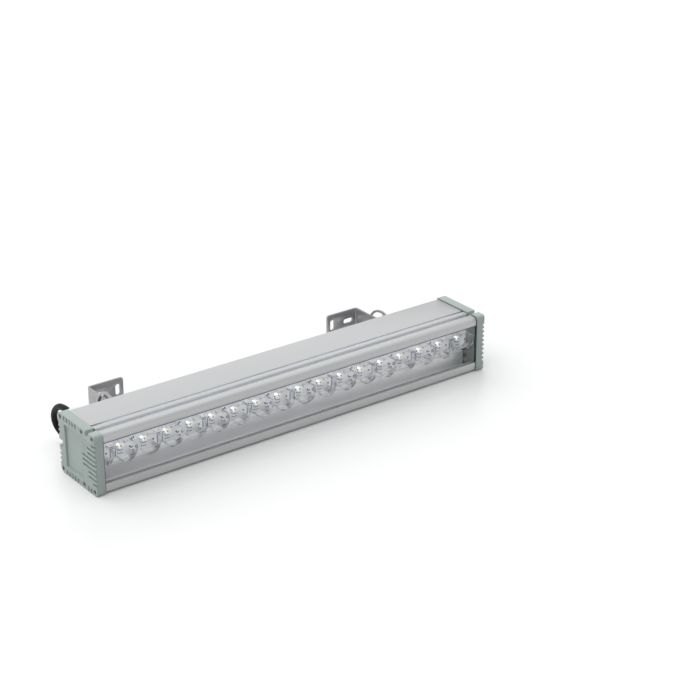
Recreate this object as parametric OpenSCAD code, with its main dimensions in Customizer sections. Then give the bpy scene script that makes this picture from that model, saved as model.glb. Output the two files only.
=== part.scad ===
/* [Housing] */
// Overall length across both end caps
overall_l = 500; // [440:1:900]
// Depth of the end caps, front to back
cap_d = 72; // [68:1:90]
// Height of the end caps
cap_h = 67; // [66:1:84]
// Thickness of each end cap
cap_t = 10; // [9:0.5:14]
// Outer wall of the extrusion
wall = 2.2; // [1.8:0.1:2.6]
// Thickness of the front glass
glass_t = 4; // [3:0.5:5]
// Mouth of both T-slots
slot_mouth = 6.2; // [5.4:0.1:6.4]
// Inside width of both T-slots
slot_inner = 9; // [8.6:0.1:9.6]

/* [Light] */
// Number of LEDs in the row
led_count = 18; // [6:1:18]
// Diameter of each lens
lens_d = 22; // [18:0.5:24]
// Height of each lens and its holder over the board
lens_h = 14; // [11:0.5:15]
// Height of the LED board
board_h = 30; // [24:1:32]

/* [Brackets] */
// Thickness of the bracket sheet
sheet_t = 2; // [1.5:0.5:3]
// Width of each rear plate
plate_w = 45; // [40:1:60]
// Height of each rear plate
plate_h = 40; // [36:1:44]
// Radius of the slotted ear
ear_r = 23.5; // [22:0.5:26]
// Radius of the arc slot about the pivot
arc_r = 18; // [15:0.5:19]
// Reach of the tilt arm from the pivot to the wall face
arm_reach = 46.2; // [40:0.1:80]
// Width of the tilt arm
arm_w = 26; // [22:1:30]
// Length of the wall leg of the tilt arm
leg_l = 43; // [38:1:60]
// Bolt diameter of the brackets
bolt_d = 5; // [4:1:5]

/* [Supply lead] */
// Diameter of the supply cord
cord_d = 6.8; // [5:0.1:7]
// Distance of the cable gland from the outer face of the left end cap
gland_inset = 25; // [22:1:60]

/* [Hidden] */
$fn = 48;

// How far a cut runs past the face it opens
over = 1;
// Clearance of pieces that slide together
fit = 0.2;
// Gap between faces that turn on each other
turn_gap = 0.1;

// Extrusion: outline, set in from the caps by one step all round
cap_step = 1.2;
body_d = cap_d - 2 * cap_step;
front_y = -body_d / 2;
back_y = body_d / 2;
low_z = cap_step;
high_z = cap_h - cap_step;
gasket_t = 1.2;
body_l = overall_l - 2 * cap_t - 2 * gasket_t;
edge_back_top_r = 3;
edge_back_low_r = 4;
edge_front_top_r = 4.5;
edge_front_low_r = 2.5;

// T-slots: the back one lies at mid height, the top one behind the front ridge
slot_z = cap_h / 2;
slot_lip = 2.4;
slot_depth = 7.2;
slot_wall = 1.4;
slot_from_front = 12.9;
slot_y = front_y + slot_from_front;
slot_box = slot_inner / 2 + slot_wall;

// Window and glass channel behind the two front lips
lip_t = 1.4;
lip_low_h = 9.8;
lip_high_h = 9.3;
channel_grip = 2.4;
glass_y = front_y + lip_t;
channel_d = glass_t + 2 * fit;
lip_low_z = low_z + lip_low_h;
lip_high_z = high_z - lip_high_h;
rib_t = 1.8;
rib_low_z = lip_low_z - cap_step;
rib_y = glass_y + channel_d;

// Web that carries the LED board, with a ledge under the board's lower edge
web_from_front = 26.8;
web_y = front_y + web_from_front;
web_t = 2.5;
board_t = 1.6;
ledge_out = 5.4;
ledge_y = web_y - ledge_out;
ledge_gap = 0.4;
ledge_z = slot_z - board_h / 2 - ledge_gap;

// End screws: two rows of three, tapped into round bosses of the extrusion. The middle one of the
// upper row is a screw port that is open along the top.
screw_edge = 4.3;
screw_mid_from_front = 25;
boss_r = 3.2;
pilot_r = 1.7;
port_slot_w = 3.2;
screw_ys = [cap_d / 2 - screw_edge, screw_mid_from_front - cap_d / 2, screw_edge - cap_d / 2];
screw_zs = [screw_edge, cap_h - screw_edge];

// End caps: moulded cups with a ribbed outer face
cap_floor = 3.6;
cap_wall = 3.2;
cap_corner_r = 3;
cap_low_back_r = 6;
notch_gap = 0.2;
notch_w = slot_mouth + 2 * notch_gap;
notch_top_depth = 5.4;
notch_back_depth = 7;
rib_pitch = 5.3;
rib_cut_w = 2.8;
rib_cut_depth = 2.2;
comb_cut_w = 2.4;
rib_count = 9;
rib_back_len = 2.2;
// Length of each front groove, from the middle of the cap outwards
rib_lens = [24, 24, 13.5, 13.5, 5.5];
comb_cut_h = 5.6;
comb_rim = 0.8;
comb_pitch = 5.6;
comb_y = 1.2;
comb_count = 5;
comb_low_y = -25.2;
comb_low_count = 2;
panel_depth = 2.2;
panel_side = 10;
panel_front_gap = 26;
panel_back_gap = 12;
sink_r = 2.4;
sink_in = 0.6;
sink_depth = 1.1;
cap_screw_r = 1.5;
cap_screw_l = 22;
cap_socket_r = 1.1;
cap_socket_depth = 1;
dimple_r = 0.9;
dimple_from_back = 4.5;
dimple_drop = 4;

// LED row: the last lens holders end just inside the caps
holder_wall = 1.2;
holder_r = lens_d / 2 + holder_wall;
end_gap = 0.45;
row_half = overall_l / 2 - cap_floor - end_gap - holder_r;
led_pitch = 2 * row_half / (led_count - 1);
led_z = slot_z;
board_y = web_y - board_t;
board_over = 12;
board_l = 2 * (row_half + board_over);
board_screw_r = 1.5;
board_head_r = 2.7;
board_head_h = 1.8;
board_screw_l = 6;
board_screw_every = 3;
board_screw_in = 3.4;
package_w = 3.5;
package_t = 0.8;
dome_r = 1.4;
lens_base_r = 4.6;
lens_base_h = 1.2;
lens_flange_h = 1.4;
lens_well_r = 2.4;
lens_well_h = 4;
lens_face_r = 5.5;
lens_face_depth = 1;
holder_base_t = 1;
holder_base_in = 5.4;
holder_blade = 34;
holder_blades = 4;
holder_turn = 26;
holder_step = 0.6;
holder_peg_r = 0.9;
holder_peg_in = 1;
holder_peg_l = 1.2;
holder_peg_turn = -20;

// Driver in the rear chamber
driver_l = 150;
driver_d = 28;
driver_h = 40;
driver_x = -60;
driver_pad_t = 1;
driver_edge = 3;
driver_flute = 1.2;
driver_flutes = 6;
lead_d = 1.8;
lead_sides = 6;

// Cable gland, in the upper half of the back
gland_z = slot_z + 16.5;
gland_x = gland_inset - overall_l / 2;
gland_thread_r = 7.6;
gland_bore_r = 3.9;
gland_af = 18;
gland_flange_t = 5;
gland_washer_t = 1.2;
gland_neck_r = 6.6;
gland_neck_l = 8.5;
gland_inner_l = 9;
gland_lock_t = 4;
gland_hex_l = 8;
gland_dome_l = 7;
gland_mouth_r = 4.9;
gland_seat_gap = 0.5;
gland_seal_l = 7;
gland_seat_r = 5;
gland_nose_step = 0.8;
gland_flange_y = back_y + gland_washer_t;
gland_nut_y = gland_flange_y + gland_flange_t + gland_seat_gap;
gland_end_y = gland_nut_y + gland_hex_l + gland_dome_l;
inner_cord_y = back_y - wall - 10;

// Route of the supply cord: X from the gland's axis, Y from its mouth, and the share of the gland's
// height over the cord's bed that it is at
cord_points = [[0, 0, 1], [0, 5.5, 1], [0, 11, 0.998], [0, 16.5, 0.985], [0, 22, 0.955], [0, 27, 0.9],
    [0, 31.5, 0.82], [0, 35.1, 0.715], [0.4, 37.3, 0.595], [1.1, 38, 0.47], [2.3, 37, 0.35],
    [4.1, 34.4, 0.235], [6.6, 30.4, 0.135], [9.7, 25.1, 0.06], [13.4, 19, 0.015], [17.6, 12.4, 0],
    [22.3, 5.7, 0], [27.6, -1, 0], [33.6, -7.2, 0], [40.8, -12, 0], [49.2, -14.8, 0], [59, -15.8, 0],
    [69.5, -15.6, 0], [81, -14.8, 0], [92.5, -13.7, 0], [104, -12.4, 0], [115.5, -11.3, 0],
    [127, -10.6, 0], [139, -10.5, 0], [151, -10.5, 0]];
cord_bed_z = cord_d / 2 + fit / 2;
cord_route = [for (p = cord_points) [gland_x + p[0], gland_end_y + p[1],
    cord_bed_z + p[2] * (gland_z - cord_bed_z)]];
cord_sides = 12;
core_d = 2.3;
core_ring = 1.35;
core_spread = 2.4;
core_l = 24;
core_sides = 8;
core_tip_d = 1.2;
core_tip_l = 7;

// Brackets: the left one, which the right one repeats turned half round
bracket_inset = 72;
ear_x = bracket_inset - overall_l / 2;
bend_r = 1.5;
bend_x = ear_x + bend_r;
bend_y = back_y + sheet_t + bend_r;
pivot_out = 25.7;
pivot_y = back_y + pivot_out;
pivot_z = slot_z;
reach_y = pivot_y + arm_reach;
arm_inner_x = ear_x + turn_gap + sheet_t;
hole_r = bolt_d / 2 + fit;
hole_low = 11;
hole_step_z = 20.5;
hole_step_x = 22;
hole_first_x = 10.4;
plate_low_z = slot_z - hole_low;
neck_low = 10;
neck_high = 16.5;
arc_half = 91.5;
arc_slot_r = bolt_d / 2 + 2 * fit;
plate_corner_r = 1.5;
plate_edge_r = 1;
arm_corner_r = 3;
wall_slot_w = 5.5;
wall_slot_l = 12.5;
wall_slot_near = 13.4;
wall_slot_far = 35.9;

// Bracket fasteners, each in proportion to the bolt
washer_share = 1;
washer_r = washer_share * bolt_d;
washer_t = 1;
head_share = 0.9;
head_r = head_share * bolt_d;
head_h_share = 0.7;
head_h = head_h_share * bolt_d;
head_edge = 0.6;
nut_h_share = 0.8;
nut_h = nut_h_share * bolt_d;
nut_af_share = 1.6;
nut_af = nut_af_share * bolt_d;
bolt_over = 1.2;
socket_share = 0.34;
socket_r = socket_share * bolt_d;
socket_depth = socket_share * bolt_d;
slot_nut_w = slot_inner - 2 * fit;
slot_nut_t = 3.6;
slot_screw_over = 0.8;

// The part's origin lies under the middle of its outline, caps to wall faces
row_y = (reach_y - cap_d / 2) / 2;

module placed() {
    translate([0, -row_y, 0]) children();
}

// Local x, y, z run along the part's Y, Z, X
module along_x() {
    rotate([90, 0, 90]) children();
}

module facing_front() {
    rotate([90, 0, 0]) children();
}

module facing_back() {
    rotate([-90, 0, 0]) children();
}

module facing_left() {
    rotate([0, -90, 0]) children();
}

// The right bracket is the left one turned half round about the back T-slot's middle
module turned() {
    translate([0, 0, 2 * slot_z]) rotate([0, 180, 0]) children();
}

module mirrored() {
    mirror([1, 0, 0]) children();
}

module span(y0, z0, y1, z1) {
    translate([y0, z0]) square([y1 - y0, z1 - z0]);
}

// What a round edge takes off the corner at the origin of the first quadrant
module corner_cut(r) {
    difference() {
        translate([-over, -over]) square([r + over, r + over]);
        translate([r, r]) circle(r);
    }
}

// Rectangle with its own radius at each corner: low front, low back, high back, high front
module soft_rect(y0, z0, y1, z1, radii) {
    corners = [[y0, z0], [y1, z0], [y1, z1], [y0, z1]];
    difference() {
        span(y0, z0, y1, z1);
        for (i = [0 : 3]) if (radii[i] > 0) translate(corners[i]) rotate(90 * i) corner_cut(radii[i]);
    }
}

module at_screws() {
    for (y = screw_ys, z = screw_zs) translate([y, z]) children();
}

module body_outline() {
    soft_rect(front_y, low_z, back_y, high_z,
        [edge_front_low_r, edge_back_low_r, edge_back_top_r, edge_front_top_r]);
}

// Solid that a T-slot is sunk in, as seen from inside the extrusion
module slot_housings() {
    span(back_y - slot_depth - slot_wall, slot_z - slot_box, back_y, slot_z + slot_box);
    span(slot_y - slot_box, high_z - slot_depth - slot_wall, slot_y + slot_box, high_z);
}

module slot_cuts() {
    span(back_y - slot_depth, slot_z - slot_mouth / 2, back_y + over, slot_z + slot_mouth / 2);
    span(back_y - slot_depth, slot_z - slot_inner / 2, back_y - slot_lip, slot_z + slot_inner / 2);
    span(slot_y - slot_mouth / 2, high_z - slot_depth, slot_y + slot_mouth / 2, high_z + over);
    span(slot_y - slot_inner / 2, high_z - slot_depth, slot_y + slot_inner / 2, high_z - slot_lip);
}

module rear_chamber() {
    difference() {
        union() {
            span(web_y + web_t, low_z + wall, back_y - wall, high_z - wall);
            span(ledge_y + wall, low_z + wall, web_y + web_t + over, ledge_z - wall);
        }
        slot_housings();
        at_screws() circle(boss_r);
    }
}

module light_cavity() {
    span(front_y - over, lip_low_z, glass_y + over, lip_high_z);
    span(glass_y, lip_low_z - channel_grip, rib_y, lip_high_z + channel_grip);
    span(glass_y + over, rib_low_z, rib_y + rib_t + over, lip_high_z);
    difference() {
        span(rib_y + rib_t, low_z + wall, web_y, high_z - wall);
        slot_housings();
        span(ledge_y, low_z, web_y + over, ledge_z);
        translate([screw_ys[1], screw_zs[1]]) circle(boss_r);
    }
}

module body_section() {
    difference() {
        body_outline();
        rear_chamber();
        light_cavity();
        slot_cuts();
        span(screw_ys[1] - port_slot_w / 2, screw_zs[1], screw_ys[1] + port_slot_w / 2, high_z + over);
        at_screws() circle(pilot_r);
    }
}

function led_x(i) = (i - (led_count - 1) / 2) * led_pitch;
board_screw_is = [for (i = [0 : board_screw_every : led_count - 2]) i];
board_screw_z = led_z + board_h / 2 - board_screw_in;

module at_board_screws(y) {
    for (i = board_screw_is) translate([led_x(i) + led_pitch / 2, y, board_screw_z])
        facing_front() children();
}

module housing() {
    color("silver") placed() difference() {
        along_x() linear_extrude(body_l, center = true) body_section();
        translate([gland_x, back_y + over, gland_z]) facing_front()
            cylinder(r = gland_thread_r + fit, h = wall + 2 * over);
        at_board_screws(web_y + web_t + over) cylinder(r = board_screw_r, h = web_t + 2 * over);
    }
}

module cap_outline() {
    difference() {
        soft_rect(-cap_d / 2, 0, cap_d / 2, cap_h,
            [cap_corner_r, cap_low_back_r, cap_corner_r, cap_corner_r]);
        notches();
    }
}

// Notches that leave both T-slots open at their ends
module notches() {
    span(slot_y - notch_w / 2, cap_h - notch_top_depth, slot_y + notch_w / 2, cap_h + over);
    span(cap_d / 2 - notch_back_depth, slot_z - notch_w / 2, cap_d / 2 + over, slot_z + notch_w / 2);
}

module cap_hollow() {
    difference() {
        span(cap_wall - cap_d / 2, cap_wall, cap_d / 2 - cap_wall, cap_h - cap_wall);
        slot_housings();
        at_screws() circle(boss_r);
    }
}

function rib_len(i) = rib_lens[abs(i - (rib_count - 1) / 2)];

module rib_cuts() {
    for (i = [0 : rib_count - 1]) {
        z = slot_z + (i - (rib_count - 1) / 2) * rib_pitch;
        span(-cap_d / 2 - over, z - rib_cut_w / 2, rib_len(i) - cap_d / 2, z + rib_cut_w / 2);
        translate([rib_len(i) - cap_d / 2, z]) circle(rib_cut_w / 2);
        if (abs(i - (rib_count - 1) / 2) > 1)
            span(cap_d / 2 - rib_back_len, z - rib_cut_w / 2, cap_d / 2 + over, z + rib_cut_w / 2);
    }
}

module comb_cuts() {
    for (i = [0 : comb_count - 1]) {
        y = comb_y + i * comb_pitch;
        span(y - comb_cut_w / 2, -over, y + comb_cut_w / 2, comb_cut_h);
        span(y - comb_cut_w / 2, cap_h - comb_rim - comb_cut_h, y + comb_cut_w / 2, cap_h - comb_rim);
    }
    for (i = [0 : comb_low_count - 1]) {
        y = comb_low_y + i * comb_pitch;
        span(y - comb_cut_w / 2, -over, y + comb_cut_w / 2, comb_cut_h);
    }
}

module cap_panel() {
    span(panel_front_gap - cap_d / 2, panel_side, cap_d / 2 - panel_back_gap, cap_h - panel_side);
}

// Cap with its outer face at local zero, growing towards the extrusion
module cap_body() {
    difference() {
        linear_extrude(cap_t) cap_outline();
        translate([0, 0, cap_floor]) linear_extrude(cap_t) cap_hollow();
        translate([0, 0, -over]) linear_extrude(rib_cut_depth + over) {
            rib_cuts();
            comb_cuts();
        }
        translate([0, 0, -over]) linear_extrude(panel_depth + over) cap_panel();
        translate([0, 0, -over]) linear_extrude(cap_t + 2 * over) at_screws() circle(pilot_r + fit);
        for (y = screw_ys, z = screw_zs) translate([y, z, 0]) screw_sink();
        translate([cap_d / 2 - dimple_from_back, slot_z - dimple_drop, -over])
            cylinder(r = dimple_r, h = rib_cut_depth + over);
    }
}

module screw_sink() {
    translate([0, 0, -over]) cylinder(r = sink_r + fit, h = over + sink_in);
    translate([0, 0, sink_in])
        cylinder(r1 = sink_r + fit, r2 = cap_screw_r + fit, h = sink_depth + fit);
}

module end_cap_left() {
    color("DarkSeaGreen") placed() translate([-overall_l / 2, 0, 0]) along_x() cap_body();
}

module end_cap_right() {
    mirrored() end_cap_left();
}

module end_gasket_left() {
    color("DimGray") placed() translate([cap_t - overall_l / 2, 0, 0]) along_x()
        linear_extrude(gasket_t) difference() {
            body_outline();
            cap_hollow();
            slot_cuts();
            at_screws() circle(pilot_r + fit);
        }
}

module end_gasket_right() {
    mirrored() end_gasket_left();
}

module cap_screw() {
    difference() {
        union() {
            translate([0, 0, sink_in]) cylinder(r1 = sink_r, r2 = cap_screw_r, h = sink_depth);
            translate([0, 0, sink_in + sink_depth])
                cylinder(r = cap_screw_r, h = cap_screw_l - sink_in - sink_depth);
        }
        translate([0, 0, sink_in - over])
            cylinder(r = cap_socket_r, h = cap_socket_depth + over, $fn = 6);
    }
}

module cap_screws_left() {
    color("DarkGray") placed() translate([-overall_l / 2, 0, 0]) along_x()
        for (y = screw_ys, z = screw_zs) translate([y, z, 0]) cap_screw();
}

module cap_screws_right() {
    mirrored() cap_screws_left();
}

glass_low_z = lip_low_z - channel_grip + fit;
glass_high_z = lip_high_z + channel_grip - fit;

module front_glass() {
    color([0.8, 0.9, 0.95, 0.4]) placed() along_x() linear_extrude(body_l, center = true)
        span(glass_y + fit, glass_low_z, glass_y + fit + glass_t, glass_high_z);
}

// Thin rubber strips between the glass and the inner ribs
module glass_seals() {
    seal_h = channel_grip - 2 * fit;
    color("DimGray") placed() along_x() linear_extrude(body_l, center = true) {
        span(rib_y - fit, glass_low_z, rib_y, glass_low_z + seal_h);
        span(rib_y - fit, glass_high_z - seal_h, rib_y, glass_high_z);
    }
}

module led_board() {
    color("WhiteSmoke") placed() difference() {
        translate([-board_l / 2, board_y, led_z - board_h / 2]) cube([board_l, board_t, board_h]);
        at_board_screws(web_y + over) cylinder(r = board_screw_r + fit, h = board_t + 2 * over);
        at_leds() at_pegs() translate([0, 0, -board_t - over])
            cylinder(r = holder_peg_r + fit / 2, h = board_t + 2 * over);
    }
}

module board_screws() {
    color("DarkGray") placed() at_board_screws(board_y) {
        difference() {
            cylinder(r = board_head_r, h = board_head_h);
            translate([0, 0, board_head_h / 2])
                cylinder(r = board_screw_r, h = board_head_h, $fn = 6);
        }
        translate([0, 0, board_head_h / 2 - board_screw_l])
            cylinder(r = board_screw_r - fit / 2, h = board_screw_l);
    }
}

module at_leds() {
    for (i = [0 : led_count - 1]) translate([led_x(i), board_y, led_z]) facing_front() children();
}

// The two pegs of a lens holder, set across from each other near its rim
module at_pegs() {
    for (a = [0, 180]) rotate(holder_peg_turn + a) translate([holder_r - holder_peg_in, 0, 0]) children();
}

module led_packages() {
    color("Ivory") placed() at_leds()
        translate([-package_w / 2, -package_w / 2, 0]) cube([package_w, package_w, package_t]);
}

module led_domes() {
    color([1, 0.9, 0.3, 0.8]) placed() at_leds() intersection() {
        translate([0, 0, package_t]) sphere(dome_r);
        translate([-dome_r, -dome_r, package_t]) cube([2 * dome_r, 2 * dome_r, dome_r]);
    }
}

// Clear total-reflection lens: a cone with a well over the LED and a flange at its front
module lens() {
    difference() {
        union() {
            translate([0, 0, lens_base_h]) cylinder(r1 = lens_base_r,
                r2 = lens_d / 2 - holder_step, h = lens_h - lens_flange_h - lens_base_h);
            translate([0, 0, lens_h - lens_flange_h]) cylinder(d = lens_d, h = lens_flange_h);
        }
        translate([0, 0, lens_base_h - over]) cylinder(r = lens_well_r, h = lens_well_h + over);
        translate([0, 0, lens_base_h + lens_well_h]) sphere(lens_well_r);
        translate([0, 0, lens_h - lens_face_depth])
            cylinder(r1 = lens_face_r - lens_face_depth, r2 = lens_face_r + fit,
                h = lens_face_depth + fit);
    }
}

module lenses() {
    color([0.9, 0.95, 1, 0.5]) placed() at_leds() lens();
}

// Clear holder: a base ring with two pegs in the board, four blades and a rim round the lens flange
module lens_holder() {
    ring_z = lens_h - lens_flange_h - holder_step - fit;
    difference() {
        cylinder(r = holder_r, h = lens_h);
        translate([0, 0, -over]) cylinder(r = holder_base_in, h = lens_h);
        translate([0, 0, holder_base_t])
            cylinder(r = holder_r - holder_wall - holder_step + fit, h = lens_h);
        translate([0, 0, lens_h - lens_flange_h - fit])
            cylinder(r = holder_r - holder_wall + fit / 2, h = lens_h);
        for (i = [0 : holder_blades - 1])
            rotate(holder_turn + holder_blade + i * 360 / holder_blades)
                translate([0, 0, holder_base_t]) rotate_extrude(angle = 360 / holder_blades - holder_blade)
                    translate([holder_base_in, 0]) square([holder_r, ring_z - holder_base_t]);
    }
    at_pegs() translate([0, 0, -holder_peg_l])
        cylinder(r = holder_peg_r, h = holder_peg_l + holder_base_t / 2);
}

module lens_holders() {
    color([0.9, 0.95, 1, 0.4]) placed() at_leds() lens_holder();
}

driver_y = web_y + web_t + driver_pad_t;
driver_z = low_z + wall;

module driver_case() {
    color("SlateGray") placed() difference() {
        translate([driver_x - driver_l / 2, driver_y, driver_z]) cube([driver_l, driver_d, driver_h]);
        for (i = [1 : driver_flutes])
            translate([driver_x - driver_l / 2 - over, driver_y + driver_d - driver_flute,
                driver_z + i * driver_h / (driver_flutes + 1) - driver_flute / 2])
                cube([driver_l + 2 * over, driver_flute + over, driver_flute]);
    }
}

module driver_pad() {
    color("LightSteelBlue") placed()
        translate([driver_x - driver_l / 2 + driver_edge, web_y + web_t, ledge_z + over])
            cube([driver_l - 2 * driver_edge, driver_pad_t, driver_z + driver_h - ledge_z - driver_edge]);
}

function unit(v) = v / norm(v);
function heading(route, i) = unit(route[min(i + 1, len(route) - 1)] - route[max(i - 1, 0)]);
// Side direction of a ring: along X as far as the heading allows, and level where it runs along X
function side_of(t, off_x) = norm(off_x) > 0.3 ? unit(cross(unit(off_x), t)) : unit(cross([0, 0, 1], t));
function ring(p, t, side, r, sides) = [for (k = [0 : sides - 1])
    p + r * (cos(360 * k / sides) * side + sin(360 * k / sides) * cross(t, side))];

// Round tube through the points of a route
module tube(route, d, sides) {
    last = len(route) - 1;
    points = [for (i = [0 : last]) let (t = heading(route, i))
        each ring(route[i], t, side_of(t, cross(t, [1, 0, 0])), d / 2, sides)];
    walls = [for (i = [0 : last - 1], k = [0 : sides - 1])
        let (a = i * sides + k, b = i * sides + (k + 1) % sides)
        each [[a, a + sides, b], [b, a + sides, b + sides]]];
    start = [for (k = [0 : sides - 1]) k];
    end = [for (k = [sides - 1 : -1 : 0]) last * sides + k];
    polyhedron(points, concat(walls, [start, end]));
}

// Two leads from the driver, round the web's end, to the back of the LED board's end
module dc_leads() {
    web_end_x = (body_l + board_l) / -4;
    behind_y = web_y + web_t + 2 * lead_d;
    for (i = [0, 1]) {
        z = ledge_z + (2 + 2 * i) * lead_d;
        color("Crimson") placed() tube([
            [driver_x - driver_l / 2, behind_y, z], [driver_x - driver_l / 2 - 2 * lead_d, behind_y, z],
            [web_end_x + 5 * lead_d, behind_y, z], [web_end_x + 2 * lead_d, behind_y - lead_d / 2, z],
            [web_end_x + lead_d / 2, behind_y - 1.5 * lead_d, z], [web_end_x, web_y + lead_d, z],
            [web_end_x, web_y, z]], lead_d, lead_sides);
    }
}

// Places of one lead of a bundle, turned from the cord's end towards the driver
function lead_route(i) = let (a = 90 + 120 * i, rise = [0, 0, core_ring * sin(a)],
    side_x = [core_ring * cos(a), 0, 0], side_y = [0, core_ring * cos(a), 0], turn = 6 * lead_d,
    start = [gland_x, inner_cord_y, gland_z] + rise, bent = start + [turn, -turn - lead_d, 0],
    end = [driver_x - driver_l / 2, bent[1], driver_z + driver_h - 3 * lead_d] + rise)
    [start + side_x, start - [0, lead_d, 0] + side_x,
        start + [0.3 * turn, -0.7 * turn - lead_d, 0] + 0.7 * (side_x + side_y),
        bent + side_y, end - [turn, 0, 0] + side_y, end + side_y];

// Three leads from the cord's inner end to the driver
module supply_leads() {
    for (i = [0 : 2]) color(core_colors[i]) placed() tube(lead_route(i), lead_d, lead_sides);
}

// The cord inside the gland, up to its mouth
module inner_cord() {
    color("Black") placed() translate([gland_x, inner_cord_y, gland_z]) facing_back()
        cylinder(d = cord_d, h = gland_end_y - inner_cord_y);
}

module at_gland(y) {
    translate([gland_x, y, gland_z]) facing_back() children();
}

module hex(across_flats, h) {
    cylinder(d = across_flats / cos(30), h = h, $fn = 6);
}

module gland_washer() {
    color("DimGray") placed() at_gland(back_y) difference() {
        cylinder(d = gland_af, h = gland_washer_t);
        translate([0, 0, -over]) cylinder(r = gland_thread_r + fit, h = gland_washer_t + 2 * over);
    }
}

module gland_body() {
    neck_end = gland_flange_t + gland_neck_l;
    color("White") placed() at_gland(gland_flange_y) difference() {
        union() {
            hex(gland_af, gland_flange_t);
            translate([0, 0, -gland_washer_t - gland_inner_l])
                cylinder(r = gland_thread_r, h = gland_washer_t + gland_inner_l);
            cylinder(r = gland_neck_r, h = neck_end);
        }
        translate([0, 0, -gland_washer_t - gland_inner_l - over])
            cylinder(r = gland_bore_r, h = gland_inner_l + neck_end + 3 * over);
        translate([0, 0, neck_end - gland_seal_l]) cylinder(r = gland_seat_r, h = gland_seal_l + over);
    }
}

module gland_seal() {
    color("DimGray") placed() at_gland(gland_flange_y + gland_flange_t + gland_neck_l - gland_seal_l)
        difference() {
            cylinder(r = gland_seat_r - fit / 2, h = gland_seal_l);
            translate([0, 0, -over]) cylinder(d = cord_d + fit, h = gland_seal_l + 2 * over);
        }
}

// Dome nut: hexagon, then a tapered nose with a flat lip round the cord
module gland_nut() {
    neck_room = gland_neck_l - gland_seat_gap + fit;
    color("White") placed() at_gland(gland_nut_y) difference() {
        union() {
            intersection() {
                hex(gland_af, gland_hex_l);
                cylinder(r1 = gland_af / 2 + gland_hex_l, r2 = gland_af / 2, h = gland_hex_l);
            }
            translate([0, 0, gland_hex_l])
                cylinder(r1 = gland_af / 2 - gland_nose_step, r2 = gland_mouth_r, h = gland_dome_l);
        }
        translate([0, 0, -over]) cylinder(r = gland_neck_r + fit, h = neck_room + over);
        translate([0, 0, neck_room - fit])
            cylinder(r1 = gland_neck_r, r2 = cord_d / 2 + fit, h = gland_hex_l / 2);
        cylinder(d = cord_d + 2 * fit, h = gland_hex_l + gland_dome_l + over);
    }
}

module gland_locknut() {
    color("White") placed() at_gland(back_y - wall - gland_lock_t) difference() {
        hex(gland_af, gland_lock_t);
        translate([0, 0, -over]) cylinder(r = gland_thread_r + fit / 2, h = gland_lock_t + 2 * over);
    }
}

module supply_cord() {
    color("Black") placed() tube(cord_route, cord_d, cord_sides);
}

// Places of one stripped core: straight out of the sheath, then spread to the side
function core_route(i) = let (a = 90 + 120 * i, p = cord_route[len(cord_route) - 1]
    + core_ring * [0, cos(a), sin(a)], spread = [0, core_spread * cos(a), 0])
    [p, p + [core_l / 6, 0, 0], p + [core_l / 3, 0, 0] + spread / 4, p + [core_l / 2, 0, 0] + spread * 3 / 4,
        p + [core_l * 2 / 3, 0, 0] + spread, p + [core_l, 0, 0] + spread];
core_colors = ["SaddleBrown", "RoyalBlue", "Gold"];

module cord_cores() {
    for (i = [0 : 2]) color(core_colors[i]) placed() tube(core_route(i), core_d, core_sides);
}

module core_tips() {
    for (i = [0 : 2]) color("Silver") placed() translate(core_route(i)[5]) along_x()
        cylinder(d = core_tip_d, h = core_tip_l);
}

// Outline of the slotted ear: a disc about the pivot and the neck that carries it
module ear_outline() {
    difference() {
        union() {
            translate([pivot_y, pivot_z]) circle(ear_r);
            span(back_y, pivot_z - neck_low, pivot_y, pivot_z + neck_high);
        }
        span(back_y - over - ear_r, pivot_z - 2 * ear_r, bend_y, pivot_z + 2 * ear_r);
    }
}

module arc_slot() {
    for (a = [-arc_half, arc_half]) rotate(a) translate([arc_r, 0, -over])
        cylinder(r = arc_slot_r, h = sheet_t + 2 * over);
    rotate(-arc_half) translate([0, 0, -over]) rotate_extrude(angle = 2 * arc_half)
        translate([arc_r - arc_slot_r, 0]) square([2 * arc_slot_r, sheet_t + 2 * over]);
}

// Quarter bend of sheet about the local origin, from local -X round to local -Y
module quarter_bend(width) {
    rotate(180) rotate_extrude(angle = 90)
        translate([bend_r, 0]) square([sheet_t, width]);
}

module bracket_plate_left() {
    color("Gainsboro") placed() difference() {
        union() {
            translate([bend_x, back_y, plate_low_z]) facing_back() mirror([0, 1, 0])
                linear_extrude(sheet_t) soft_rect(0, 0, plate_w - bend_r - sheet_t, plate_h,
                    [plate_edge_r, plate_corner_r, plate_corner_r, plate_edge_r]);
            translate([bend_x, bend_y, pivot_z - neck_low]) quarter_bend(neck_low + neck_high);
            translate([ear_x - sheet_t, 0, 0]) along_x() linear_extrude(sheet_t) ear_outline();
        }
        at_plate_holes(back_y - over) cylinder(r = hole_r, h = sheet_t + 2 * over);
        translate([0, 0, hole_step_z]) at_plate_holes(back_y - over)
            cylinder(r = hole_r, h = sheet_t + 2 * over);
        translate([ear_x - sheet_t, pivot_y, pivot_z]) along_x() {
            arc_slot();
            translate([0, 0, -over]) cylinder(r = hole_r, h = sheet_t + 2 * over);
        }
    }
}

module bracket_plate_right() {
    turned() bracket_plate_left();
}

module at_plate_holes(y) {
    for (i = [0, 1]) translate([ear_x - sheet_t + hole_first_x + i * hole_step_x, y, slot_z])
        facing_back() children();
}

// Slot along local X with round ends, cut through the sheet
module wall_slot() {
    run = (wall_slot_l - wall_slot_w) / 2;
    for (x = [-run, run]) translate([x, 0, -over]) cylinder(d = wall_slot_w, h = sheet_t + 2 * over);
    translate([-run, -wall_slot_w / 2, -over]) cube([2 * run, wall_slot_w, sheet_t + 2 * over]);
}

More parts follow.
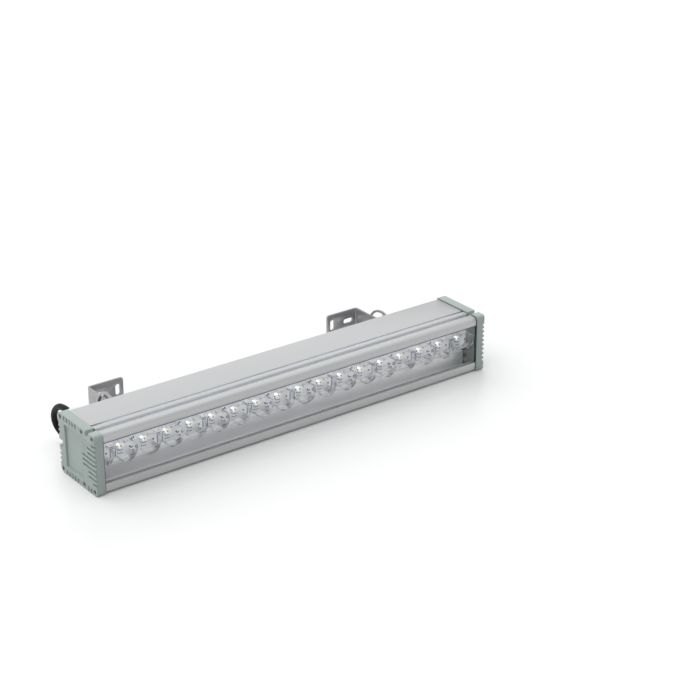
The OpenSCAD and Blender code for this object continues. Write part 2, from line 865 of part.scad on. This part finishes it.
module tilt_arm_left() {
    side_x = ear_x + turn_gap;
    low = pivot_z - arm_w / 2;
    color("Gainsboro") placed() difference() {
        union() {
            translate([side_x, 0, 0]) along_x() linear_extrude(sheet_t) {
                translate([pivot_y, pivot_z]) circle(d = arm_w);
                span(pivot_y, low, reach_y - sheet_t - bend_r, low + arm_w);
            }
            translate([side_x + sheet_t + bend_r, reach_y - sheet_t - bend_r, low])
                mirror([0, 1, 0]) quarter_bend(arm_w);
            translate([side_x + sheet_t + bend_r, reach_y - sheet_t, low]) facing_back()
                mirror([0, 1, 0]) linear_extrude(sheet_t) soft_rect(0, 0, leg_l - sheet_t - bend_r, arm_w,
                    [0, arm_corner_r, arm_corner_r, 0]);
        }
        translate([side_x, pivot_y, pivot_z]) along_x() for (y = [0, arc_r])
            translate([y, 0, -over]) cylinder(r = hole_r, h = sheet_t + 2 * over);
        translate([side_x + wall_slot_near, reach_y - sheet_t, pivot_z]) facing_back() wall_slot();
        translate([side_x + wall_slot_far, reach_y - sheet_t, pivot_z]) facing_back()
            rotate(90) wall_slot();
    }
}

module tilt_arm_right() {
    turned() tilt_arm_left();
}

// Bolt with its head on local Z above zero and its shank below
module bolt(shank) {
    difference() {
        union() {
            cylinder(r = head_r, h = head_h - head_edge);
            translate([0, 0, head_h - head_edge])
                cylinder(r1 = head_r, r2 = head_r - head_edge, h = head_edge);
        }
        translate([0, 0, head_h - socket_depth])
            cylinder(r = socket_r, h = socket_depth + over, $fn = 6);
    }
    translate([0, 0, -shank]) cylinder(d = bolt_d, h = shank);
}

module washer() {
    difference() {
        cylinder(r = washer_r, h = washer_t);
        translate([0, 0, -over]) cylinder(r = hole_r, h = washer_t + 2 * over);
    }
}

module nut() {
    difference() {
        hex(nut_af, nut_h);
        translate([0, 0, -over]) cylinder(d = bolt_d + fit, h = nut_h + 2 * over);
    }
}

module slot_nuts_left() {
    color("DarkGray") placed() at_plate_holes(back_y - slot_lip - slot_nut_t) difference() {
        translate([-slot_nut_w / 2, -slot_nut_w / 2, 0]) cube([slot_nut_w, slot_nut_w, slot_nut_t]);
        translate([0, 0, -over]) cylinder(d = bolt_d + fit, h = slot_nut_t + 2 * over);
    }
}

module slot_nuts_right() {
    turned() slot_nuts_left();
}

module plate_screws_left() {
    color("LightGray") placed() at_plate_holes(back_y + sheet_t + washer_t)
        bolt(washer_t + sheet_t + slot_lip + slot_nut_t + slot_screw_over);
}

module plate_screws_right() {
    turned() plate_screws_left();
}

module plate_washers_left() {
    color("LightGray") placed() at_plate_holes(back_y + sheet_t) washer();
}

module plate_washers_right() {
    turned() plate_washers_left();
}

// The pivot bolt is clamped to the ear; the lock bolt travels with the arm
module at_joint(y, x) {
    translate([x, pivot_y + y, pivot_z]) facing_left() children();
}

module pivot_bolt_left() {
    grip = 2 * sheet_t + 2 * turn_gap + 2 * washer_t;
    color("LightGray") placed() at_joint(0, ear_x - sheet_t - washer_t) bolt(grip + nut_h + bolt_over);
}

module pivot_bolt_right() {
    turned() pivot_bolt_left();
}

module pivot_nut_left() {
    color("LightGray") placed() at_joint(0, arm_inner_x + turn_gap + washer_t + nut_h) nut();
}

module pivot_nut_right() {
    turned() pivot_nut_left();
}

module pivot_washers_left() {
    color("LightGray") placed() {
        at_joint(0, ear_x - sheet_t) washer();
        at_joint(0, arm_inner_x + turn_gap + washer_t) washer();
    }
}

module pivot_washers_right() {
    turned() pivot_washers_left();
}

module lock_bolt_left() {
    grip = 2 * sheet_t + 2 * turn_gap + 2 * washer_t;
    color("LightGray") placed() at_joint(arc_r, ear_x - sheet_t - turn_gap - washer_t)
        bolt(grip + nut_h + bolt_over);
}

module lock_bolt_right() {
    turned() lock_bolt_left();
}

module lock_nut_left() {
    color("LightGray") placed() at_joint(arc_r, arm_inner_x + washer_t + nut_h) nut();
}

module lock_nut_right() {
    turned() lock_nut_left();
}

module lock_washers_left() {
    color("LightGray") placed() {
        at_joint(arc_r, ear_x - sheet_t - turn_gap) washer();
        at_joint(arc_r, arm_inner_x + washer_t) washer();
    }
}

module lock_washers_right() {
    turned() lock_washers_left();
}

housing();
end_cap_left();
end_cap_right();
end_gasket_left();
end_gasket_right();
cap_screws_left();
cap_screws_right();
front_glass();
glass_seals();
led_board();
board_screws();
led_packages();
led_domes();
lens_holders();
lenses();
driver_case();
driver_pad();
dc_leads();
supply_leads();
inner_cord();
gland_washer();
gland_body();
gland_seal();
gland_nut();
gland_locknut();
supply_cord();
cord_cores();
core_tips();
bracket_plate_left();
bracket_plate_right();
slot_nuts_left();
slot_nuts_right();
plate_screws_left();
plate_screws_right();
plate_washers_left();
plate_washers_right();
tilt_arm_left();
tilt_arm_right();
pivot_bolt_left();
pivot_bolt_right();
pivot_nut_left();
pivot_nut_right();
pivot_washers_left();
pivot_washers_right();
lock_bolt_left();
lock_bolt_right();
lock_nut_left();
lock_nut_right();
lock_washers_left();
lock_washers_right();
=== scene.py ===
from math import cos, radians, sin

import bmesh
import bpy
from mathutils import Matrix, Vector


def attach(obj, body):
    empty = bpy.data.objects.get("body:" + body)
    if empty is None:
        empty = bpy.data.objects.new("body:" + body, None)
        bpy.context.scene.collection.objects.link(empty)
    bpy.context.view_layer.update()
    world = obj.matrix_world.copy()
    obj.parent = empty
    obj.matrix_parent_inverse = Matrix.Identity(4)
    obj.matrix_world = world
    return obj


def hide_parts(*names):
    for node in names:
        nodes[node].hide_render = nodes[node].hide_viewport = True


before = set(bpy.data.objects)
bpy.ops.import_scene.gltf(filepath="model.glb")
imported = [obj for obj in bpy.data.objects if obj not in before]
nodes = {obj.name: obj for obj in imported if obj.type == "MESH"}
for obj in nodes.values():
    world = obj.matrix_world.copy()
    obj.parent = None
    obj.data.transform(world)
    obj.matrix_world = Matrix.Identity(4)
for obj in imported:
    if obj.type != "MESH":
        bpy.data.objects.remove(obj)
scene = bpy.context.scene
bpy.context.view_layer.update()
mm = 0.001
rowY = 35.35  # the housing's middle lies this far in front of the part's origin


def at(x, y, z):  # a place in the housing's own millimetres
    return Vector((x, y - rowY, z)) * mm


# where the photograph was taken from: metres, degrees, and millimetres of lens
view = {
    "place": (-1.0217, -1.5122, 0.8926), "azimuth": -36.94, "elevation": 24.39,
    "lens": 95.96, "sensor": 36, "farthest": 100,
    "clearWalls": 32,  # the pane, the holders and the lenses lie many walls deep
}


def direction(azimuth, elevation):  # towards the viewer or the lamp
    a, e = radians(azimuth), radians(elevation)
    return Vector((sin(a) * cos(e), -cos(a) * cos(e), sin(e)))


def makeCamera():
    data = bpy.data.cameras.new("camera")
    data.lens = view["lens"]
    data.sensor_width = view["sensor"]
    data.clip_end = view["farthest"]
    camera = bpy.data.objects.new("camera", data)
    camera.location = view["place"]
    camera.rotation_mode = "QUATERNION"
    towards = -direction(view["azimuth"], view["elevation"])
    camera.rotation_quaternion = towards.to_track_quat("-Z", "Y")
    scene.collection.objects.link(camera)
    scene.camera = camera


makeCamera()
scene.view_settings.view_transform = "Standard"
scene.cycles.transparent_max_bounces = view["clearWalls"]
print("camera ready")


# the supply cord and its stripped end, on the route that the CAD model gives it
cord = {
    "length": 0.2379, "diameter": 6.8, "mouth": (-225, 56.5), "bed": 3.5, "rise": 46.5,
    "knotSteps": 8, "sheathSteps": 10, "coreSteps": 6,
    "coreDiameter": 2.3, "coreRing": 1.35, "coreSpread": 2.4, "coreLength": 24,
    "coreRoute": [(0, 0), (1 / 6, 0), (1 / 3, 1 / 4), (1 / 2, 3 / 4), (2 / 3, 1), (1, 1)],
    # x and y from the mouth, and the share of the rise
    "route": [
        (0, 0, 1), (0, 5.5, 1), (0, 11, 0.998), (0, 16.5, 0.985), (0, 22, 0.955), (0, 27, 0.9),
        (0, 31.5, 0.82), (0, 35.1, 0.715), (0.4, 37.3, 0.595), (1.1, 38, 0.47), (2.3, 37, 0.35),
        (4.1, 34.4, 0.235), (6.6, 30.4, 0.135), (9.7, 25.1, 0.06), (13.4, 19, 0.015),
        (17.6, 12.4, 0), (22.3, 5.7, 0), (27.6, -1, 0), (33.6, -7.2, 0), (40.8, -12, 0),
        (49.2, -14.8, 0), (59, -15.8, 0), (69.5, -15.6, 0), (81, -14.8, 0), (92.5, -13.7, 0),
        (104, -12.4, 0), (115.5, -11.3, 0), (127, -10.6, 0), (139, -10.5, 0), (151, -10.5, 0)],
}


def makeStrand(name, points, diameter, steps):
    data = bpy.data.curves.new(name, "CURVE")
    data.dimensions = "3D"
    data.resolution_u = cord["knotSteps"]
    data.bevel_depth = diameter / 2 * mm
    data.bevel_resolution = steps
    data.use_fill_caps = True
    spline = data.splines.new("BEZIER")
    spline.bezier_points.add(len(points) - 1)
    for knot, point in zip(spline.bezier_points, points):
        knot.co = point
        knot.handle_left_type = knot.handle_right_type = "AUTO"
    strand = bpy.data.objects.new(name, data)
    scene.collection.objects.link(strand)
    return strand


def makeCore(colour, angle):
    turn = radians(angle)
    start = cordPoints[-1] + Vector((0, cos(turn), sin(turn))) * cord["coreRing"] * mm
    along = Vector((cord["coreLength"], 0, 0)) * mm
    aside = Vector((0, cord["coreSpread"] * cos(turn), 0)) * mm
    points = [start + along * a + aside * b for a, b in cord["coreRoute"]]
    return makeStrand("core" + colour, points, cord["coreDiameter"], cord["coreSteps"])


cordPoints = [at(cord["mouth"][0] + x, cord["mouth"][1] + y, cord["bed"] + share * cord["rise"])
              for x, y, share in cord["route"]]
sheath = makeStrand("cordSheath", cordPoints, cord["diameter"], cord["sheathSteps"])
cores = [makeCore(colour, 90 + 120 * i) for i, colour in enumerate(("Brown", "Blue", "Green"))]
print("cord ready")


class Signal:  # an output of a node tree that can be used in sums
    def __init__(self, tree, socket=None):
        self.tree = tree
        self.socket = socket

    def feed(self, target, value):
        if isinstance(value, Signal):
            self.tree.links.new(value.socket, target)
        else:
            target.default_value = value

    def node(self, kind, settings=(), inputs=(), output=0):
        made = self.tree.nodes.new("ShaderNode" + kind)
        for name, value in dict(settings).items():
            setattr(made, name, value)
        for name, value in dict(inputs).items():
            self.feed(made.inputs[name], value)
        return Signal(self.tree, made.outputs[output])

    def maths(self, operation, *values):
        return self.node("Math", {"operation": operation}, enumerate(values))

    def __add__(self, other):
        return self.maths("ADD", self, other)

    __radd__ = __add__

    def __sub__(self, other):
        return self.maths("SUBTRACT", self, other)

    def __rsub__(self, other):
        return self.maths("SUBTRACT", other, self)

    def __mul__(self, other):
        return self.maths("MULTIPLY", self, other)

    __rmul__ = __mul__

    def __pow__(self, other):
        return self.maths("POWER", self, other)

    def noise(self, scale, size=(1, 1, 1), detail=3.0):  # self is a place; size stretches the grain
        spot = self.node("Mapping", {}, {"Vector": self, "Scale": size})
        return self.node("TexNoise", {}, {"Vector": spot, "Scale": scale, "Detail": detail})

    def blend(self, low, high):  # self is the mask between two colours
        ends = [c if isinstance(c, Signal) else (*c, 1) for c in (low, high)]
        return self.node("Mix", {"data_type": "RGBA"}, {0: self, 6: ends[0], 7: ends[1]}, 2)

    def bump(self, strength, depth):
        return self.node("Bump", {}, {"Strength": strength, "Distance": depth, "Height": self})


def newFinish(name, colour, rough, metal=0.0, **sockets):
    material = bpy.data.materials.new(name)
    material.use_nodes = True
    tree = material.node_tree
    shader = tree.nodes["Principled BSDF"]
    shader.inputs["Base Color"].default_value = (*colour, 1)
    shader.inputs["Roughness"].default_value = rough
    shader.inputs["Metallic"].default_value = metal
    for socket, value in sockets.items():
        shader.inputs[socket.replace("_", " ")].default_value = value
    place = Signal(tree).node("TexCoord", output="Object")
    return material, shader, place


def tint(colour, gain):
    return tuple(min(1, c * gain) for c in colour)


# a fine grain mixed with wide soft clouds, and the patches of light on a clear wall
pattern = {
    "grainShare": 0.7, "cloudShare": 0.3, "cloudScale": 14, "cloudDetail": 1.0,
    "patchScale": 150, "patchDetail": 0.0, "patchContrast": 6, "patchDrop": 2.5,
}


def grainy(name, colour, rough, metal=0.0, scale=900, size=(1, 1, 1), spread=0.03,
           roughSpread=0.08, bump=0.1, depth=0.00004, **sockets):
    material, shader, place = newFinish(name, colour, rough, metal, **sockets)
    grain = place.noise(scale, size)
    cloud = place.noise(pattern["cloudScale"], detail=pattern["cloudDetail"])
    mask = grain * pattern["grainShare"] + cloud * pattern["cloudShare"]
    mask.feed(shader.inputs["Base Color"],
              mask.blend(tint(colour, 1 - spread), tint(colour, 1 + spread)))
    mask.feed(shader.inputs["Roughness"], rough - roughSpread / 2 + mask * roughSpread)
    mask.feed(shader.inputs["Normal"], grain.bump(bump, depth))
    return material


def filmFinish(name, colour, rough, metal, least, rim, power, patches=0.0):
    # a clear wall that lets light straight through: only its gloss shows, more so towards its rim
    material, shader, place = newFinish(name, colour, rough, metal)
    if patches:
        caught = place.noise(pattern["patchScale"], detail=pattern["patchDetail"])
        caught = caught * pattern["patchContrast"] - pattern["patchDrop"]
        caught.feed(shader.inputs["Base Color"],
                    caught.blend(tint(colour, 1 - patches), tint(colour, 1 + patches)))
    facing = place.node("LayerWeight", {}, {"Blend": 0.5}, "Facing")
    facing.feed(shader.inputs["Alpha"], least + facing ** power * rim)
    return material


# grain drawn out along the extrusion, and across the rolled sheet
drawnGrain = {"scale": 240, "size": (0.05, 12, 12), "roughSpread": 0.1, "bump": 0.15,
              "depth": 0.00003}
rolledGrain = {"scale": 500, "size": (0.2, 0.2, 4), "roughSpread": 0.12, "bump": 0.12,
               "depth": 0.00003}

finishes = {
    "extrusion": grainy("satinAnodised", (0.575, 0.582, 0.587), 0.36, 0.55, spread=0.02,
                        **drawnGrain),
    # paler, shinier copies of the extrusion for the chamber and slot faces: painted light
    "paintedLitChamber": grainy("chamberWithPaintedLight", (0.93, 0.94, 0.95), 0.42, 0.7, **drawnGrain),
    "paintedLitSlot": grainy("slotWithPaintedLight", (0.82, 0.84, 0.86), 0.4, 0.55, **drawnGrain),
    "caps": grainy("sagePowderCoat", (0.4, 0.465, 0.438), 0.48, scale=1800, spread=0.04,
                   roughSpread=0.12, bump=0.16, depth=0.00008),
    "gasket": grainy("blackRubber", (0.03, 0.03, 0.032), 0.6),
    "seal": grainy("greySilicone", (0.5, 0.51, 0.52), 0.4),
    # dark blue-grey sealant, also painted shade for the line under the top lip
    "bead": grainy("blueGreyBeadPaintedShade", (0.1, 0.14, 0.2), 0.35),
    "screw": grainy("turnedSteel", (0.66, 0.655, 0.64), 0.24, 0.95, 1500),
    # the cap screws are darkened: painted shade for the shadow in their countersunk holes
    "paintedDarkCapScrew": grainy("satinSteelPaintedDark", (0.16, 0.185, 0.175), 0.4, 0.5, 1500, spread=0.04),
    "bracket": grainy("rolledSteel", (0.42, 0.42, 0.432), 0.34, 0.8, **rolledGrain),
    # the board's mask glows faintly: painted light that brightens the board behind the lenses
    "board": grainy("whiteMaskPaintedGlow", (0.94, 0.94, 0.96), 0.42, 0.45, 700, spread=0.015,
                    Emission_Color=(0.98, 0.98, 1, 1), Emission_Strength=0.13),
    "print": grainy("blueBoardInk", (0.012, 0.16, 0.3), 0.4, spread=0.06),
    "land": grainy("tinnedLand", (0.95, 0.95, 0.96), 0.3, 0.5, spread=0.02),
    # the chips and the pads beside them glow: a painted highlight, the LEDs themselves are off
    "paintedGlowCeramic": grainy("glazedCeramicPaintedGlow", (0.96, 0.96, 0.93), 0.3, 0.4, spread=0.02,
                      Emission_Color=(1, 1, 0.98, 1), Emission_Strength=0.9),
    "phosphor": grainy("phosphorGel", (0.72, 0.68, 0.05), 0.3, scale=2500, spread=0.08),
    "driver": grainy("driverCase", (0.1, 0.11, 0.12), 0.5),
    "pad": grainy("thermalPad", (0.35, 0.46, 0.55), 0.7, scale=700),
    "leads": grainy("leadInsulation", (0.25, 0.08, 0.04), 0.4),
    "cord": grainy("cordJacket", (0.009, 0.009, 0.01), 0.45, scale=1200, spread=0.1,
                   Specular_IOR_Level=0.15),
    "brown": grainy("coreBrown", (0.16, 0.06, 0.025), 0.4),
    "blue": grainy("coreBlue", (0.03, 0.12, 0.42), 0.4),
    "green": grainy("coreGreen", (0.4, 0.5, 0.03), 0.4),
    "nylon": grainy("whiteNylon", (0.82, 0.83, 0.83), 0.34, scale=500, spread=0.015, bump=0.06),
    "glass": filmFinish("clearGlass", (1, 1, 1), 0.02, 1.0, least=0.015, rim=0.9, power=5),
    "lens": filmFinish("clearAcrylic", (0.95, 0.97, 1.0), 0.05, 1.0, least=0.015, rim=0.8,
                       power=3.5),
    "holder": filmFinish("clearHolderPaintedLit", (0.66, 0.67, 0.69), 0.1, 0.85, least=0.3, rim=0.9, power=2,
                         patches=0.45),
    "holderBase": filmFinish("clearHolderBase", (0.9, 0.91, 0.93), 0.12, 0.6, least=0.01, rim=0.5,
                             power=4),
}
print("finishes ready")


def wear(piece, finish, body="fixture", stands=()):
    # the last step of every new piece: its finish and what carries it
    piece.data.materials.append(finishes[finish])
    if stands:
        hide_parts(*stands)
    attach(piece, body)


def makePiece(name, bm):
    mesh = bpy.data.meshes.new(name)
    bm.to_mesh(mesh)
    bm.free()
    piece = bpy.data.objects.new(name, mesh)
    scene.collection.objects.link(piece)
    return piece


# what counts as one point (metres), one flat face and a sharp edge (degrees) on a copied node
copied = {"weld": 1e-6, "flat": 0.4, "sharp": 28}


def softened(name, node, width, finish, body="fixture", segments=2, finishAt=None):
    # a copy of a CAD node with its edges broken; finishAt names a face's finish from its place
    bm = bmesh.new()
    bm.from_mesh(nodes[node].data)
    bmesh.ops.remove_doubles(bm, verts=bm.verts, dist=copied["weld"])
    bmesh.ops.dissolve_limit(bm, angle_limit=radians(copied["flat"]), verts=bm.verts,
                             edges=bm.edges)
    used = [finish]
    for face in bm.faces:
        face.smooth = True
        here = finishAt(face.calc_center_median()) if finishAt else finish
        if here not in used:
            used.append(here)
        face.material_index = used.index(here)
    piece = makePiece(name, bm)
    edge = piece.modifiers.new("edges", "BEVEL")
    edge.width = width * mm
    edge.segments = segments
    edge.limit_method = "ANGLE"
    edge.angle_limit = radians(copied["sharp"])
    edge.harden_normals = True
    edge.use_clamp_overlap = True
    wear(piece, finish, body, [node])
    for other in used[1:]:
        piece.data.materials.append(finishes[other])


wear(sheath, "cord", stands=["supply_cord"])
for core, colour in zip(cores, ("brown", "blue", "green")):
    wear(core, colour, stands=["cord_cores"])

# CAD nodes that keep their shape
plain = {
    "end_gasket_left": "gasket", "end_gasket_right": "gasket", "glass_seals": "seal",
    "gland_washer": "gasket", "gland_seal": "gasket", "board_screws": "screw",
    "core_tips": "screw", "front_glass": "glass", "lenses": "lens", "led_board": "board",
    "led_packages": "paintedGlowCeramic", "led_domes": "phosphor", "driver_case": "driver",
    "driver_pad": "pad", "dc_leads": "leads", "supply_leads": "leads", "inner_cord": "cord",
    "gland_locknut": "nylon", "slot_nuts_left": "screw", "slot_nuts_right": "screw",
}
for node, finish in plain.items():
    data = nodes[node].data
    data.materials.clear()
    data.materials.append(finishes[finish])

# faces of the housing inside the window or a slot, by ranges of y and z in millimetres; they take
# paler, shinier copies of the extrusion's finish, painted light that lifts the shade inside them
recesses = [("paintedLitChamber", -33, -7.9, 3, 57), ("paintedLitSlot", -27, -17, 56.6, 65.7),
            ("paintedLitSlot", -13, -9, 56.6, 65.7), ("paintedLitSlot", 24, 34.7, 24, 43)]


def recessFinish(place):
    y, z = place.y / mm + rowY, place.z / mm
    inside = (finish for finish, y0, y1, z0, z1 in recesses if y0 < y < y1 and z0 < z < z1)
    return next(inside, "extrusion")


# node on either side: piece, broken edge, finish, slot in the record, what carries it
fittings = {
    "end_cap": ("endCap", 0.5, "caps", "cap_plastic", "fixture"),
    "cap_screws": ("capScrews", 0.12, "paintedDarkCapScrew", "stainless", "fixture"),
    "bracket_plate": ("plate", 0.2, "bracket", "bracket_steel", "fixture"),
    "tilt_arm": ("arm", 0.2, "bracket", "bracket_steel", "arm"),
    "plate_screws": ("platescrews", 0.15, "screw", "stainless", "fixture"),
    "plate_washers": ("platewashers", 0.15, "screw", "stainless", "fixture"),
    "pivot_bolt": ("pivotbolt", 0.15, "screw", "stainless", "fixture"),
    "pivot_nut": ("pivotnut", 0.15, "screw", "stainless", "fixture"),
    "pivot_washers": ("pivotwashers", 0.15, "screw", "stainless", "fixture"),
    "lock_bolt": ("lockbolt", 0.15, "screw", "stainless", "arm"),
    "lock_nut": ("locknut", 0.15, "screw", "stainless", "arm"),
    "lock_washers": ("lockwashers", 0.15, "screw", "stainless", "arm"),
}

softened("housingBody", "housing", 0.15, "extrusion", finishAt=recessFinish)
for side in ("left", "right"):
    for node, (name, width, finish, slot, carrier) in fittings.items():
        body = f"arm_{side}" if carrier == "arm" else carrier
        softened(name + side.title(), f"{node}_{side}", width, finish, body)
softened("glandBody", "gland_body", 0.3, "nylon")
softened("glandNut", "gland_nut", 0.4, "nylon", segments=3)
print("castings and fasteners ready")


# thin marks on the board, in millimetres, placed from the middle of each chip
board = {
    "leds": 18, "pitch": 27.5, "face": -9.6, "middle": 33.5, "ink": 0.05, "land": 0.08,
    # round marks: radius, width, from, to in degrees
    "arcs": [(5.0, 0.95, 205, 300), (5.4, 0.9, 15, 50), (4.7, 1.3, 160, 185),
             (8.2, 0.8, 240, 285), (8.4, 0.8, 70, 100)],
    "arcSteps": 12,
    # straight marks: start, end, width; odd and even chips take turns
    "oddBars": [((-13.6, 1.2), (-7.4, 1.2), 0.9), ((-12.6, -0.7), (-7.8, -0.7), 0.9),
                ((-12.1, -1.4), (-12.1, -10.6), 0.9), ((-6.2, 0.4), (-6.2, -10.8), 0.85)],
    "oddLands": [((-9.2, -2.6), (-9.2, -9.4), 4.6)],
    "evenBars": [((-14.9, 4.2), (-13.2, 4.2), 2.6), ((-12.9, 5.2), (-11.5, 5.2), 2.4),
                 ((-16.2, -5.6), (-13.2, -5.2), 1.3), ((-16.4, -8.6), (-12.6, -8.6), 0.9),
                 ((-12.6, -8.5), (-12.0, -11.2), 0.9)],
    "evenLands": [((-6.4, 8.4), (-3.6, 8.4), 1.6)],
    # glowing white pads up-left of each chip: a painted highlight where the lens shows a glint
    "paintedGlintPads": [((-4.9, 2.6), (-2.2, 2.6), 2.8)],
    # black bars in the gaps along the board's lower edge: painted shade between the holders
    "edgeShadeBars": [((-16.4, -13.9), (-11.2, -13.9), 0.9)],
    # whole rings: place, radius, width
    "evenRings": [((-9.2, -5.9), 1.35, 1.1)],
    "holeShades": [((10.6, -3.9), 0.55, 1.08)],  # all but closed and black: painted shade standing for the shadow in an open peg hole
}


def addArc(bm, middle, radius, width, first=0, last=360):
    spoke = Vector((cos(radians(first)), 0, sin(radians(first))))
    ends = [bm.verts.new(middle + spoke * (radius + half) * mm) for half in (-width / 2, width / 2)]
    edge = bm.edges.new(ends)
    bmesh.ops.spin(bm, geom=[*ends, edge], cent=middle, axis=(0, -1, 0),
                   angle=radians(last - first), steps=board["arcSteps"],
                   use_merge=last - first == 360)


def addBar(bm, middle, start, end, width):
    a, b = (middle + Vector((x, 0, z)) * mm for x, z in (start, end))
    across = (b - a).cross(Vector((0, 1, 0))).normalized() * width / 2 * mm
    edge = bm.edges.new([bm.verts.new(a - across), bm.verts.new(a + across)])
    drawn = bmesh.ops.extrude_edge_only(bm, edges=[edge])["geom"]
    bmesh.ops.translate(bm, verts=[g for g in drawn if isinstance(g, bmesh.types.BMVert)],
                        vec=b - a)


def addMarks(bm, middle, bars=(), rings=()):
    for bar in bars:
        addBar(bm, middle, *bar)
    for (x, z), radius, width in rings:
        addArc(bm, middle + Vector((x, 0, z)) * mm, radius, width)


def finishFlat(name, bm, depth, finish):
    bmesh.ops.solidify(bm, geom=bm.faces[:], thickness=depth * mm)
    bmesh.ops.recalc_face_normals(bm, faces=bm.faces)
    # solidify may thicken either way, and the back belongs on the board's face
    lift = min(v.co.y for v in bm.verts) - (at(0, board["face"], 0).y - depth * mm)
    bmesh.ops.translate(bm, verts=bm.verts, vec=(0, -lift, 0))
    wear(makePiece(name, bm), finish)


def makePrint():
    ink, lands, glintPads, holeShades = (bmesh.new() for _ in range(4))
    for i in range(board["leds"]):
        middle = at((i - (board["leds"] - 1) / 2) * board["pitch"], board["face"], board["middle"])
        for arc in board["arcs"]:
            addArc(ink, middle, *arc)
        addMarks(glintPads, middle, board["paintedGlintPads"])
        addMarks(holeShades, middle, board["edgeShadeBars"], board["holeShades"])
        if i == 0:  # what joins two chips starts at the second
            continue
        kind = "odd" if i % 2 else "even"
        addMarks(ink, middle, board[kind + "Bars"], board["evenRings"] if kind == "even" else ())
        addMarks(lands, middle, board[kind + "Lands"])
    finishFlat("boardPrint", ink, board["ink"], "print")
    finishFlat("boardLands", lands, board["land"], "land")
    finishFlat("paintedGlintPads", glintPads, board["land"], "paintedGlowCeramic")
    finishFlat("paintedShadeMarks", holeShades, board["ink"], "gasket")


makePrint()
print("board ready")


# blades to the lower right of a lens, clear of the ring on the board, take a grey patchy finish as
# painted light they catch; the rest stay nearly clear
holder = {"edge": 0.1, "paintedLitPast": 3, "ringFront": -10.8}


def bladeFinish(place):
    x = (place.x / mm / board["pitch"]) % 1 * board["pitch"] - board["pitch"] / 2
    y, z = place.y / mm + rowY, place.z / mm - board["middle"]
    return "holder" if x - z > holder["paintedLitPast"] and y < holder["ringFront"] else "holderBase"


softened("lensHolders", "lens_holders", holder["edge"], "holder", segments=1,
         finishAt=bladeFinish)
print("holders ready")


# bead of sealant in the corner between the glass and the lip over it; its dark blue-grey also
# paints the shadow line under the lip
bead = {"half": 238.6, "face": -33.2, "lip": 56.5, "radius": 1.8, "steps": 5}


def makeBead():
    bm = bmesh.new()
    corner = at(-bead["half"], bead["face"], bead["lip"])
    hub = corner + Vector((0, -bead["radius"], -bead["radius"])) * mm
    start = bm.verts.new(hub + Vector((0, bead["radius"], 0)) * mm)
    bmesh.ops.spin(bm, geom=[start], cent=hub, axis=(1, 0, 0), angle=radians(90),
                   steps=bead["steps"])
    bm.verts.new(corner)
    bmesh.ops.contextual_create(bm, geom=bm.verts[:])
    drawn = bmesh.ops.extrude_face_region(bm, geom=bm.faces[:], use_keep_orig=True)["geom"]
    bmesh.ops.translate(bm, verts=[g for g in drawn if isinstance(g, bmesh.types.BMVert)],
                        vec=(2 * bead["half"] * mm, 0, 0))
    bmesh.ops.recalc_face_normals(bm, faces=bm.faces)
    wear(makePiece("sealBeadWithShadowLine", bm), "bead")


makeBead()
print("sealant ready")


studio = {
    "floorSize": 24, "floorDrop": 0.0002, "floorRough": 0.2, "floorGloss": 0.2,
    "floorColour": (0.925, 0.927, 0.93),  # as the camera and gloss see it
    "floorBounce": (0.58, 0.581, 0.583),  # as it lights the underside
    "floorLift": 0.02,
    "worldFill": 0.5, "worldShown": 0.99,
    "frontShade": 0.48, "shadeEdge": -0.6,  # a grey card in front, seen in gloss only
    "key": {"azimuth": -140, "elevation": 72, "spread": 80, "strength": 1.55},
    "side": {"azimuth": -85, "elevation": 20, "spread": 80, "strength": 0.3},
    "back": {"azimuth": 175, "elevation": 16, "spread": 80, "strength": 0.9},
}


def makeFloor():
    bm = bmesh.new()
    bmesh.ops.create_grid(bm, x_segments=1, y_segments=1, size=studio["floorSize"] / 2)
    bmesh.ops.translate(bm, verts=bm.verts, vec=(0, 0, -studio["floorDrop"]))
    floor = makePiece("floor", bm)
    material, shader, place = newFinish("floor", studio["floorColour"], studio["floorRough"],
                                        Specular_IOR_Level=studio["floorGloss"],
                                        Emission_Strength=1.0)
    seen, glossy = (place.node("LightPath", output=f"Is {kind} Ray")
                    for kind in ("Camera", "Glossy"))
    seen = seen.maths("MAXIMUM", seen, glossy)
    seen.feed(shader.inputs["Base Color"], seen.blend(studio["floorBounce"], studio["floorColour"]))
    seen.feed(shader.inputs["Emission Color"], seen.blend((0, 0, 0), (studio["floorLift"],) * 3))
    floor.data.materials.append(material)


def makeWorld():
    # even light, shown bright to the camera, glass and metal
    world = bpy.data.worlds.new("world")
    scene.world = world
    world.use_nodes = True
    sky = world.node_tree.nodes["Background"]
    start = Signal(world.node_tree)
    seen, glossy, through = (start.node("LightPath", output=f"Is {kind} Ray")
                             for kind in ("Camera", "Glossy", "Transmission"))
    towards = start.node("TexCoord", output="Generated")
    depth = start.node("SeparateXYZ", {}, {"Vector": towards}, "Y")
    card = start.node("MapRange", {"interpolation_type": "SMOOTHSTEP"}, {
        "Value": depth, "From Min": studio["shadeEdge"], "From Max": 0.0,
        "To Min": studio["frontShade"], "To Max": 1.0})
    shown = start.maths("MAXIMUM", seen, start.maths("MAXIMUM", through, glossy * card))
    strength = shown * (studio["worldShown"] - studio["worldFill"]) + studio["worldFill"]
    start.feed(sky.inputs["Color"], (1, 1, 1, 1))
    start.feed(sky.inputs["Strength"], strength)


def makeLamps():
    for name in ("key", "side", "back"):
        lamp = studio[name]
        data = bpy.data.lights.new(name, "SUN")
        data.energy = lamp["strength"]
        data.angle = radians(lamp["spread"])
        sun = bpy.data.objects.new(name, data)
        sun.visible_glossy = False
        sun.rotation_mode = "QUATERNION"
        away = direction(lamp["azimuth"], lamp["elevation"])
        sun.rotation_quaternion = away.to_track_quat("Z", "Y")
        scene.collection.objects.link(sun)


makeFloor()
makeWorld()
makeLamps()
print("studio ready")
